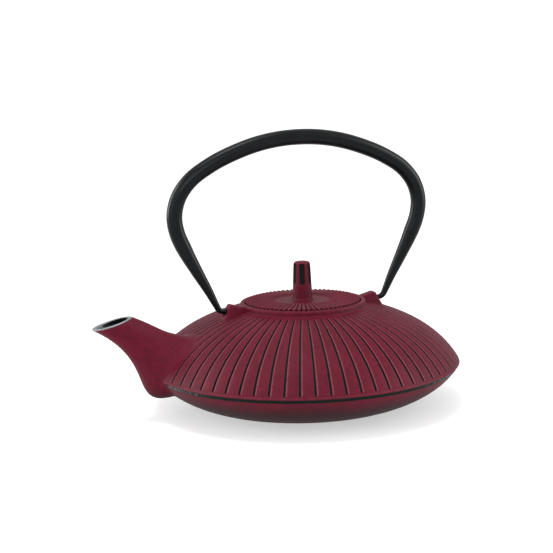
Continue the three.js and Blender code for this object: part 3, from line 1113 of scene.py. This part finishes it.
# ---------------------------------------------------------------- lid
@dataclass
class LidCasting:
    """Lid plate with radial ribs, a smooth dish round the knob, and a skirt below."""

    radius: float
    skirt_bottom: float
    crown: float
    underside: float = 63.7
    edge_top: float = 66.9
    dish_radius: float = 17.0
    dish_floor: float = 67.3
    skirt: tuple[float, float] = (25.4, 27.2)
    hole: float = 2.1
    ribs: int = 72
    rib_depth: tuple[float, float] = (0.7, 1.9)
    rib_rise: float = 1.25
    vent: tuple[float, float] = (1.2, 11.5)

    def surface(self) -> Surface:
        """Turned plate whose top and edge are sunk between the ribs.

        A rib is a half round in its share u of the pitch: sqrt(1 - (2u)^2), so the notches between
        ribs are sharp.

        Returns:
            Closed surface.
        """
        inner, outer = self.skirt
        rise = self.crown - self.edge_top
        radii = np.array([35.5, 33.5, 31.0, 28.5, 26.0, 23.5, 21.0, 19.2, 18.0, 17.4])
        lifts = self.edge_top + rise * smoothstep(self.radius, self.dish_radius, radii) ** 0.7
        lifts = lifts + self.rib_rise * smoothstep(17.6, 21.0, radii)
        top = [(float(r), float(z), 0.0) for r, z in zip(radii, lifts)]
        under, bottom, floor = self.underside, self.skirt_bottom, self.dish_floor
        outline = rounded_outline([
            (self.hole, under, 0.2), (inner, under, 0.5), (inner, bottom, 0.6), (outer, bottom, 0.6),
            (outer, under, 0.5), (self.radius, under, 0.6),
            (self.radius, self.edge_top + self.rib_rise, 0.8), *top, (self.dish_radius, self.crown, 0.5),
            (self.dish_radius - 1.0, floor, 0.6), (8.2, floor + 0.1, 0.0), (self.hole, floor, 0.3)],
            steps=4, closed=True)
        normals = outline_normals(outline, closed=True)
        radius, height = outline[:, 0], outline[:, 1]
        share = 0.5 * np.sin(np.linspace(-math.pi / 2, math.pi / 2, 11)[:-1])
        across = np.tile(share, self.ribs)
        angle = (TURN / self.ribs * (np.arange(self.ribs)[:, None] + share[None])).ravel()
        rib = np.sqrt(np.maximum(1.0 - (2.0 * across) ** 2, 0.0))
        ribbed = smoothstep(17.2, 18.6, radius) * smoothstep(64.3, 65.4, height)
        depth = mix(self.rib_depth[0], self.rib_depth[1], smoothstep(17.0, self.radius, radius)) * ribbed
        sink = depth[:, None] * (1.0 - rib[None])
        grid = sunken(outline, normals, sink, angle[None])
        # painted shade in the notches between the ribs
        painted_notch_shade = ribbed[:, None] * (1.0 - smoothstep(0.3, 0.95, rib[None]))
        # painted shade in the dish round the knob
        dish = plateau((6.0, 9.0), (16.0, 17.2), radius) * smoothstep(65.0, 66.0, height)
        # painted shade on the rim face, in the gap to the collar
        painted_gap_shade = smoothstep(35.6, 36.6, radius) * smoothstep(66.8, 65.4, height)
        inside = smoothstep(64.4, 63.9, height)
        marks = {
            Mark.GROOVE: np.maximum(painted_notch_shade * 0.9, np.maximum(painted_gap_shade, dish * 0.37)[:, None]),
            # painted highlight on the rib tops
            Mark.EDGE: ribbed[:, None] * smoothstep(0.9, 1.0, rib[None]) * 0.8,
            Mark.INSIDE: inside[:, None],
        }
        return Surface(grid, wrap_rows=True, marks=marks)

    def build(self, paint: bpy.types.Material) -> bpy.types.Object:
        """Make the lid and drill its steam vent.

        Args:
            paint: its finish.

        Returns:
            The lid.
        """
        piece = make_piece("lid_casting", [self.surface()], Body.LID, paint, ("lid",))
        radius, offset = self.vent
        levels = np.array([self.underside - 1.0, self.dish_floor - 0.25, self.dish_floor + 1.5])[:, None]
        spread = np.array([radius, radius, radius + 0.9])[:, None]
        hole = revolve(spread, levels, around(28)) + np.array([0.0, offset, 0.0])
        dark = {Mark.GROOVE: np.ones(hole.shape[:2])}
        carve(piece, [Surface(hole, cap_start=True, cap_end=True, marks=dark)])
        return piece


@dataclass
class Knob:
    """Tapered cast knob with upright flutes, held by a screw and washer from below."""

    foot: float
    top: float
    foot_radius: float = 7.0
    top_radius: float = 5.45
    hole: tuple[float, float] = (2.1, 15.6)
    flutes: int = 6
    flute_turn: float = math.radians(-110.0)
    flute_width: float = 3.9
    flute_depth: float = 1.3
    flute_span: tuple[float, float] = (11.8, 24.7)
    lowered: float = 0.45

    def surface(self) -> Surface:
        """Turned body with flutes sunk inside a round-ended strip of the given width and span.

        Returns:
            Closed surface.
        """
        radius, depth = self.hole
        top = self.top - self.lowered
        foot, low_radius, high_radius = self.foot, self.foot_radius, self.top_radius
        outline = rounded_outline([
            (radius, foot + depth, 0.0), (radius, foot, 0.3), (low_radius, foot, 0.5),
            (low_radius - 0.15, foot + 1.0, 0.6), (low_radius - 0.62, foot + 2.4, 0.9),
            (high_radius + 0.08, top - 3.6, 0.0), (high_radius - 0.25, top, 3.1),
            (1.2, top + 0.05, 0.0)], steps=7)
        along = arc_length(outline)
        extra = np.arange(0.0, along[-1], 0.3)
        keep = np.abs(extra[:, None] - along[None]).min(axis=1) > 0.1
        outline = resampled(outline, np.sort(np.concatenate([along, extra[keep]])))
        normals = outline_normals(outline)
        height = outline[:, 1] - self.foot
        angle = around(34 * self.flutes)[0]
        pitch = TURN / self.flutes
        turned = (angle - self.flute_turn + pitch / 2.0) % pitch - pitch / 2.0
        sideways = np.abs(turned[None] * outline[:, :1])
        low, high = self.flute_span
        beyond = np.maximum(np.maximum(height - (high - 1.3), (low + 0.9) - height), 0.0)
        distance = np.hypot(sideways, beyond[:, None] * 1.15)
        outer = (outline[:, :1] > self.hole[0] + 1.0) * 1.0
        half = self.flute_width / 2
        flute = (1.0 - smoothstep(half - 0.45, half, distance)) * outer
        # painted highlight round each flute
        rim = np.exp(-((distance - half - 0.12) / 0.22) ** 2) * outer
        grid = sunken(outline, normals, self.flute_depth * flute, angle[None])
        # painted highlight on the top rounding
        crest = np.exp(-((outline[:, 1] - (top - 0.5)) / 0.6) ** 2)[:, None] * outer
        marks = {Mark.GROOVE: flute, Mark.EDGE: np.maximum(rim * 0.6, crest * 0.7)}
        return Surface(grid, cap_start=True, cap_end=True, marks=marks)

    def build(self, paint: bpy.types.Material, steel: bpy.types.Material) -> None:
        """Make the knob, its washer and its screw.

        Args:
            paint: finish of the knob.
            steel: finish of the washer and screw.
        """
        make_piece("knob_casting", [self.surface()], Body.LID, paint, ("lid_knob",))
        low, high = node_box("knob_washer")
        washer = rounded_outline([(2.1, low[2], 0.1), (high[0], low[2], 0.25), (high[0], high[2], 0.25),
                                  (2.1, high[2], 0.1)], steps=3, closed=True)
        make_piece("washer_steel", [Surface.turned(washer, 72)], Body.LID, steel,
                   ("knob_washer",))
        make_piece("screw_steel", [self.screw()], Body.LID, steel, ("knob_screw",))

    def screw(self) -> Surface:
        """Slotted pan head under the lid and a shank whose radius falls and rises once in each turn.

        Returns:
            Closed surface.
        """
        low, high = node_box("knob_screw")
        head, shank, pitch = high[0], 1.8, 0.7
        face = low[2] + 2.2
        bottom, top = low[2], high[2]
        outline = rounded_outline([
            (0.5, bottom, 0.0), (1.5, bottom, 0.0), (2.6, bottom + 0.04, 0.0), (head, bottom + 0.25, 0.7),
            (head, face, 0.3), (shank, face, 0.2), (shank, top - 0.6, 0.2), (shank - 0.6, top, 0.2),
            (0.4, top, 0.0)], steps=4)
        along = arc_length(outline)
        extra = np.arange(0.0, along[-1], 0.14)
        outline = resampled(outline, np.unique(np.round(np.concatenate([along, extra]), 3)))
        turn = around(48)
        radius, height = outline[:, :1], outline[:, 1:]
        threaded = plateau((face + 1.2, face + 1.8), (top - 0.9, top - 0.5), height)
        wave = np.abs(((height / pitch - turn / TURN) % 1.0) * 2.0 - 1.0)
        grid = revolve(radius - 0.22 * threaded * wave, height, turn)
        slot = (1.0 - smoothstep(0.4, 0.55, np.abs(grid[..., 1]))) * (height < bottom + 0.5)
        grid[..., 2] += 0.85 * slot
        return Surface(grid, cap_start=True, cap_end=True)


# ---------------------------------------------------------------- infuser
@dataclass
class Infuser:
    """Steel basket: turned rim and base band, and walls and base of woven wire."""

    wire: float = 0.42
    uprights: int = 114
    hoops: int = 26
    base_pitch: float = 1.6
    sides: int = 4
    sheet: float = 0.6
    neck: float = 30.0
    band_lip: float = 3.0

    def tubes(self, centre: Array, radius: float, closed: bool) -> list[Surface]:
        """Wires of a set, as square tubes turned by an eighth.

        Args:
            centre: set x stations x 3 points.
            radius: half the wire's thickness.
            closed: whether each wire is a hoop.

        Returns:
            One surface for each wire.
        """
        if closed:
            along = np.roll(centre, -1, axis=1) - np.roll(centre, 1, axis=1)
        else:
            along = np.gradient(centre, axis=1)
        along = unit(along)
        level = abs(along[..., 2]).mean() < 0.5
        guide = np.array([0.0, 0.0, 1.0]) if level else centre * np.array([1.0, 1.0, 0.0])
        first = unit(np.cross(along, guide))
        second = np.cross(first, along)
        turn = TURN * (np.arange(self.sides) + 0.5) / self.sides
        ring = first[:, :, None] * np.cos(turn)[:, None] + second[:, :, None] * np.sin(turn)[:, None]
        grid = centre[:, :, None, :] + radius * ring
        return [Surface(one, wrap_rows=closed, cap_start=not closed, cap_end=not closed) for one in grid]

    def wall(self, radius: float, low: float, high: float) -> list[Surface]:
        """Woven cylinder: hoops and uprights pass in and out of each other by half a wire.

        Args:
            radius: radius of the weave's middle.
            low: height of its lower end.
            high: height of its upper end.

        Returns:
            One surface for each wire.
        """
        swing = self.wire * 0.5
        steps = np.arange(2 * self.uprights)
        angle = TURN * steps / (2 * self.uprights)
        level = np.linspace(low + 0.6, high - 0.6, self.hoops)
        phase = (-1.0) ** np.arange(self.hoops)
        weave = np.where(steps % 2 == 0, np.cos(math.pi * steps / 2)[None] * phase[:, None] * swing, 0.0)
        hoops = revolve(radius + weave, level[:, None], angle[None])
        turns = angle[::2]
        heights = np.linspace(low, high, 2 * self.hoops + 1)
        at_hoop = np.interp(heights, level, np.arange(self.hoops))
        wave = np.cos(math.pi * at_hoop)[None] * (-1.0) ** np.arange(self.uprights)[:, None]
        uprights = revolve(radius - swing * wave, heights[None], turns[:, None])
        return self.tubes(hoops, self.wire / 2, True) + self.tubes(uprights, self.wire / 2, False)

    def base(self, radius: float, level: float) -> list[Surface]:
        """Woven disc: wires along X and along Y, each as long as the chord it lies on.

        Args:
            radius: radius of the disc.
            level: height of the weave's middle.

        Returns:
            One surface for each wire.
        """
        count = int(radius / self.base_pitch)
        numbers = np.arange(-count, count + 1)
        offset = numbers * self.base_pitch
        reach = np.sqrt(np.maximum(radius ** 2 - offset ** 2, 1.0))
        share = np.linspace(-1.0, 1.0, 4 * count + 3)
        run = share[None] * reach[:, None]
        wave = np.cos(math.pi * run / self.base_pitch) * (-1.0) ** numbers[:, None] * self.wire * 0.5
        side = np.broadcast_to(offset[:, None], run.shape)
        along_x = np.stack([run, side, level + wave], axis=-1)
        along_y = np.stack([side, run, level - wave], axis=-1)
        return [tube for centre in (along_x, along_y) for tube in self.tubes(centre, self.wire / 2, False)]

    def rim(self) -> Surface:
        """Neck that hangs in the throat, with a flange that lies on the seat.

        Returns:
            Closed ring.
        """
        low, high = node_box("infuser_rim")
        neck, inner, top = self.neck, self.neck - self.sheet, high[2]
        return Surface.turned(rounded_outline([
            (inner, low[2], 0.2), (neck, low[2], 0.2), (neck, top - self.sheet, 0.8),
            (high[0], top - self.sheet, 0.25), (high[0], top, 0.25), (neck + 2.6, top, 0.0),
            (neck + 1.9, top - 0.18, 0.0), (neck + 1.2, top, 0.0), (inner, top, 0.9)],
            steps=4, closed=True), 128)

    def band(self) -> Surface:
        """Cup-shaped band round the base, whose lip lies under the woven disc.

        Returns:
            Closed ring.
        """
        low, high = node_box("infuser_base_band")
        outer, bottom, floor = high[0], low[2], low[2] + self.sheet
        return Surface.turned(rounded_outline([
            (outer - self.band_lip, bottom, 0.2), (outer, bottom, 1.4), (outer, high[2], 0.2),
            (outer - self.sheet, high[2], 0.2), (outer - self.sheet, floor, 0.9),
            (outer - self.band_lip, floor, 0.2)], steps=4, closed=True), 128)

    def build(self, steel: bpy.types.Material, mesh_steel: bpy.types.Material) -> None:
        """Make the four pieces of the basket.

        Args:
            steel: finish of the rim and band.
            mesh_steel: finish of the wires.
        """
        wall_low, wall_high = node_box("infuser_wall")
        base_low, base_high = node_box("infuser_base")
        wall = self.wall(wall_high[0] - 0.35, wall_low[2], wall_high[2])
        base = self.base(base_high[0] - 0.2, (base_low[2] + base_high[2]) / 2)
        for name, surfaces, finish, node in (
                ("infuser_rim_steel", [self.rim()], steel, "infuser_rim"),
                ("infuser_band_steel", [self.band()], steel, "infuser_base_band"),
                ("infuser_wall_mesh", wall, mesh_steel, "infuser_wall"),
                ("infuser_base_mesh", base, mesh_steel, "infuser_base")):
            make_piece(name, surfaces, Body.INFUSER, finish, (node,))


# ---------------------------------------------------------------- handle
@dataclass
class BailHandle:
    """Round bar bent over the pot, tapered to a thin hook at each end."""

    eye_height: float
    top: float
    half_width: float
    eye_mouth: float = 51.53
    eye_depth: float = 7.0
    hook_gap: float = 1.0
    hook_radius: float = 1.7
    grip_radius: float = 5.0
    spread: float = 0.5  # how far the sides bow out beyond the half width
    taper: tuple[float, float] = (8.0, 58.0)
    sides: int = 36
    stations: int = 420

    def centre_line(self) -> Array:
        """Points of the centripetal Catmull-Rom curve through the bar's bends, in x and z.

        Returns:
            Array of n x 2 points.
        """
        span = self.half_width + self.spread - self.grip_radius
        bulge = span - self.eye_mouth
        rise = self.top - self.grip_radius - self.eye_height
        legs = [(0.35, 0.123), (0.59, 0.253), (0.81, 0.378), (0.96, 0.485)]
        grip = [(1.0, 0.585), (0.962, 0.69), (0.865, 0.785), (0.71, 0.863), (0.555, 0.917), (0.36, 0.966),
                (0.18, 0.992)]
        elbow = self.eye_mouth + 4.9
        side = [(self.eye_mouth - self.eye_depth + self.hook_gap, 0.0), (self.eye_mouth + 1.0, 0.0),
                (elbow, 1.5), (elbow + 2.2, 5.2)]
        side += [(self.eye_mouth + x * bulge, z * rise) for x, z in legs]
        side += [(x * span, z * rise) for x, z in grip]
        half = np.array(side)
        front = half * np.array([-1.0, 1.0])
        knots = np.concatenate([front, [[0.0, rise]], half[::-1]])
        ends = 2.0 * knots[[0, -1]] - knots[[1, -2]]
        knots = np.concatenate([ends[:1], knots, ends[1:]])
        p0, p1, p2, p3 = knots[:-3], knots[1:-2], knots[2:-1], knots[3:]
        gap = [np.sqrt(np.linalg.norm(b - a, axis=1))[:, None] for a, b in ((p0, p1), (p1, p2), (p2, p3))]
        leave = (p1 - p0) / gap[0] - (p2 - p0) / (gap[0] + gap[1]) + (p2 - p1) / gap[1]
        arrive = (p2 - p1) / gap[1] - (p3 - p1) / (gap[1] + gap[2]) + (p3 - p2) / gap[2]
        leave, arrive = leave * gap[1], arrive * gap[1]
        t = np.linspace(0.0, 1.0, 40, endpoint=False)[:, None, None]
        curve = (p1 + leave * t + (3 * (p2 - p1) - 2 * leave - arrive) * t ** 2
                 + (2 * (p1 - p2) + leave + arrive) * t ** 3)
        line = np.concatenate([curve.transpose(1, 0, 2).reshape(-1, 2), p2[-1:]])
        return line + np.array([0.0, self.eye_height])

    def surface(self) -> Surface:
        """Round sections square to the centre line; the ends are half rounds.

        Returns:
            Closed surface.
        """
        line = self.centre_line()
        length = arc_length(line)[-1]
        u = np.linspace(0.0, 1.0, self.stations)
        places = length * (u - 0.6 * np.sin(TURN * u) / TURN)
        tips = np.array([0.05, 0.2, 0.45, 0.8, 1.2])
        places = np.unique(np.concatenate([places, tips, length - tips]))
        centre = resampled(line, places)
        tangent = unit(np.gradient(centre, places, axis=0))
        from_end = np.minimum(places, length - places)
        full = np.clip((from_end - self.taper[0]) / (self.taper[1] - self.taper[0]), 0.0, 1.0)
        radius = mix(self.hook_radius, self.grip_radius, full)
        tip = np.clip(from_end / 1.2, 0.0, 1.0)
        radius = radius * np.sqrt(np.maximum(1.0 - (1.0 - tip) ** 2, 0.02))
        angle = around(self.sides)
        reach = radius[:, None] * np.cos(angle)
        x = centre[:, :1] - tangent[:, 1:] * reach
        z = centre[:, 1:] + tangent[:, :1] * reach
        grid = np.stack([x, radius[:, None] * np.sin(angle), z], axis=-1)
        gloss = 1.0 - smoothstep(6.0, 34.0, from_end)
        return Surface(grid, cap_start=True, cap_end=True, marks={Mark.GLOSS: gloss[:, None]})

    def build(self, lacquer: bpy.types.Material) -> bpy.types.Object:
        """Make the handle."""
        return make_piece("handle_bar", [self.surface()], Body.HANDLE, lacquer, ("handle",))


# ---------------------------------------------------------------- studio
@dataclass(frozen=True)
class SoftLight:
    """Rectangular light that faces the pot: its place and size in metres, its power in watts."""

    name: str
    place: tuple[float, float, float]
    size: tuple[float, float]
    power: float
    only_gloss: bool = False  # seen only as a reflection
    target: tuple[float, float, float] = (0.0, 0.0, 0.07)

    def hang(self) -> None:
        """Add the light to the scene."""
        data = bpy.data.lights.new(self.name, "AREA")
        data.shape, data.energy = "RECTANGLE", self.power
        data.size, data.size_y = self.size
        light = bpy.data.objects.new(self.name, data)
        bpy.context.scene.collection.objects.link(light)
        light.location = self.place
        light.visible_diffuse = not self.only_gloss
        way = Vector(self.target) - Vector(self.place)
        light.rotation_euler = way.to_track_quat("-Z", "Y").to_euler()


@dataclass
class Studio:
    """Pale floor, soft lights and the camera."""

    azimuth: float = math.radians(-20.0)
    pitch: float = math.radians(9.31)
    distance: float = 0.879
    lens: float = 87.7
    aim: tuple[float, float] = (-0.0164, 0.0818)
    roll: float = math.radians(-1.7)
    surround_strength: float = 1.03
    lights: tuple[SoftLight, ...] = (
        SoftLight("top_light", (-0.15, -0.05, 1.3), (0.45, 0.45), 7.0),
        SoftLight("left_light", (-1.25, -0.45, 0.55), (0.25, 1.1), 4.5),
        SoftLight("right_light", (0.95, -0.85, 0.6), (0.2, 1.0), 2.2),
        SoftLight("left_strip", (-1.2, 0.7, 0.6), (0.3, 1.2), 26.0, True),
        SoftLight("right_strip", (1.2, -0.45, 0.5), (0.3, 1.2), 18.0, True),
        SoftLight("front_strip", (-0.45, -1.2, 0.85), (1.0, 0.25), 8.0, True),
    )

    def axes(self) -> tuple[Vector, Vector, Vector]:
        """Right, up and back directions of the view.

        Returns:
            The three unit vectors.
        """
        right = Vector((math.cos(self.azimuth), math.sin(self.azimuth), 0.0))
        back = Vector((math.sin(self.azimuth) * math.cos(self.pitch),
                       -math.cos(self.azimuth) * math.cos(self.pitch), math.sin(self.pitch)))
        return right, back.cross(right), back

    def camera(self) -> None:
        """Make the camera and set it on the scene."""
        right, up, back = self.axes()
        target = right * self.aim[0] + up * self.aim[1]
        data = bpy.data.cameras.new("view_camera")
        data.lens, data.sensor_width = self.lens, 36.0
        data.clip_start, data.clip_end = 0.02, 200.0
        camera = bpy.data.objects.new("view_camera", data)
        bpy.context.scene.collection.objects.link(camera)
        turned = Matrix((right, up, back)).transposed() @ Matrix.Rotation(self.roll, 3, "Z")
        camera.matrix_world = Matrix.Translation(target + back * self.distance) @ turned.to_4x4()
        bpy.context.scene.camera = camera

    def floor(self) -> None:
        """Make the wide floor, as a disc whose rings narrow inwards."""
        rings = np.array([40.0, 8.0, 2.0, 0.6, 0.2, 0.02])[:, None] / MM
        disc = Surface(revolve(rings, np.array(0.0), around(96)), cap_end=True)
        floor = new_object("studio_floor", [disc], PaleFloor().material())

    def surround(self) -> None:
        """Light the pot evenly from a white surround."""
        world = bpy.data.worlds.new("studio_world")
        world.use_nodes = True
        background = world.node_tree.nodes["Background"]
        background.inputs["Color"].default_value = (1.0, 1.0, 1.0, 1.0)
        background.inputs["Strength"].default_value = self.surround_strength
        bpy.context.scene.world = world
        bpy.context.scene.view_settings.view_transform = "Standard"

    def build(self) -> None:
        """Make the whole studio."""
        self.camera()
        self.floor()
        for light in self.lights:
            light.hang()
        self.surround()


def main() -> None:
    """Build the teapot and its studio."""
    logging.basicConfig(level=logging.INFO, format="%(name)s: %(message)s")
    paint = PaintedIron().material()
    steel = BrushedSteel().material()
    mesh_steel = BrushedSteel("woven_steel", (0.5, 0.51, 0.52), (0.3, 0.31, 0.32)).material()
    lacquer = BlackLacquer().material()

    _, bowl = node_box("pot_bowl")
    _, shoulder = node_box("pot_shoulder")
    pot = PotCasting(rim_radius=bowl[1], rim_height=bowl[2], collar_top=shoulder[2])
    low, high = node_box("spout")
    spout = SpoutCasting(pot, reach=low[0], top=high[2])
    pot.build(paint, spout.passage())
    spout.build(paint)
    hinge = next(joint for joint in frame["joints"] if joint["child"] == Body.HANDLE.value)
    eye_height = hinge["pos_m"][2] / MM
    low, high = node_box("lug_rear")
    Lug(pot, top=high[2], width=high[1] - low[1], eye_height=eye_height).build(paint)

    low, high = node_box("lid")
    LidCasting(radius=high[0], skirt_bottom=low[2], crown=high[2]).build(paint)
    low, high = node_box("lid_knob")
    Knob(foot=low[2], top=high[2]).build(paint, steel)
    Infuser().build(steel, mesh_steel)
    low, high = node_box("handle")
    BailHandle(eye_height=eye_height, top=high[2], half_width=high[0]).build(lacquer)
    Studio().build()


if __name__ == "__main__":
    main()
